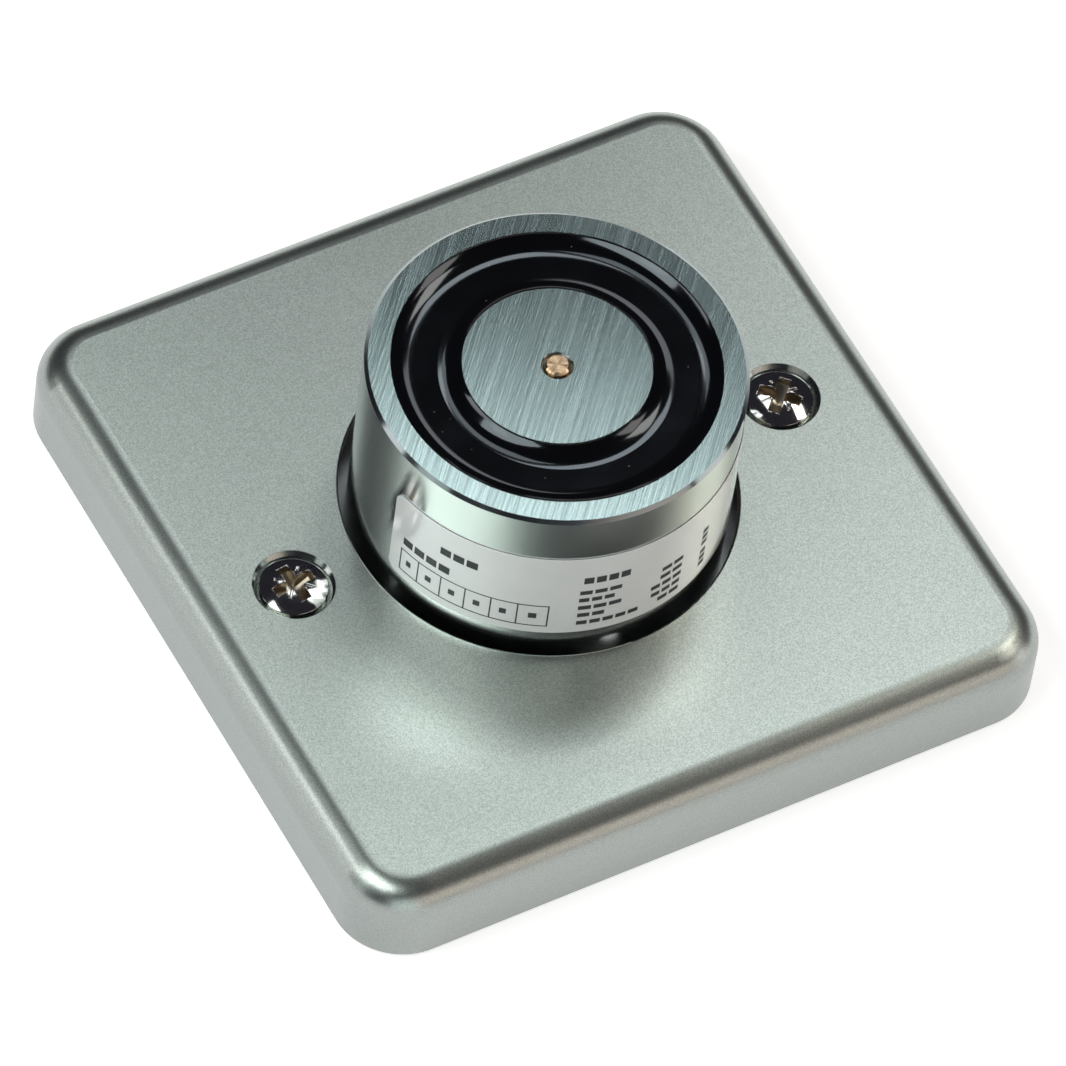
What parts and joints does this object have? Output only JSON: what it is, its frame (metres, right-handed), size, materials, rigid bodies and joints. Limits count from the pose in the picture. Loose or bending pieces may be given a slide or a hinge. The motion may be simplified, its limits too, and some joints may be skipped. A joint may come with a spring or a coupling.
{
  "type": "electromagnetic door holder",
  "caption": "Wall-mounted electromagnetic door holder: a round pot magnet with a sprung ejector pin stands through a square pressed cover over a steel base plate.",
  "frame": {"origin": "centre of the base plate's back, in the plane of the wall", "axes": "+Z out of the wall along the magnet's axis, +X along the line of the cover screws"},
  "size_m": [0.085, 0.085, 0.0334],
  "materials": {
    "satin_stainless": "fine blasted satin",
    "zinc_plate": "bright zinc plate, pole faces ground",
    "plated_screw": "bright plate",
    "base_steel": "zinc-plated sheet",
    "black_resin": "glossy cast resin",
    "turned_brass": "turned",
    "spring_steel": "drawn wire",
    "bobbin_plastic": "moulded",
    "copper_wire": "enamelled winding",
    "yellow_tape": "polyester tape",
    "white_label": "satin film",
    "red_lead": "extruded insulation",
    "black_lead": "extruded insulation",
    "grey_terminal": "moulded",
    "black_component": "moulded",
    "black_rubber": "moulded"
  },
  "bodies": {
    "holder": {"cover_plate": "satin_stainless", "cover_screws": "plated_screw", "base_plate": "base_steel", "cover_posts": "plated_screw", "magnet_pot": "zinc_plate", "magnet_screws": "plated_screw", "coil_bobbin": "bobbin_plastic", "coil_winding": "copper_wire", "winding_tape": "yellow_tape", "potting_ring": "black_resin", "ejector_spring": "spring_steel", "spring_seat_screw": "plated_screw", "rating_label": "white_label", "lead_sleeves": "black_lead", "coil_lead_plus": "red_lead", "coil_lead_minus": "black_lead", "terminal_housing": "grey_terminal", "terminal_tubes": "turned_brass", "terminal_screws": "plated_screw", "terminal_fixing_screw": "plated_screw", "diode_body": "black_component", "diode_legs": "plated_screw", "cable_bush": "black_rubber"},
    "ejector": {"ejector_pin": "turned_brass"}
  },
  "joints": [
    {"name": "ejector_slide", "type": "slide", "parent": "holder", "child": "ejector", "axis": [0, 0, 1], "range_m": [-0.001, 0], "stiffness_N_per_m": 800, "deforming": ["ejector_spring"]}
  ]
}
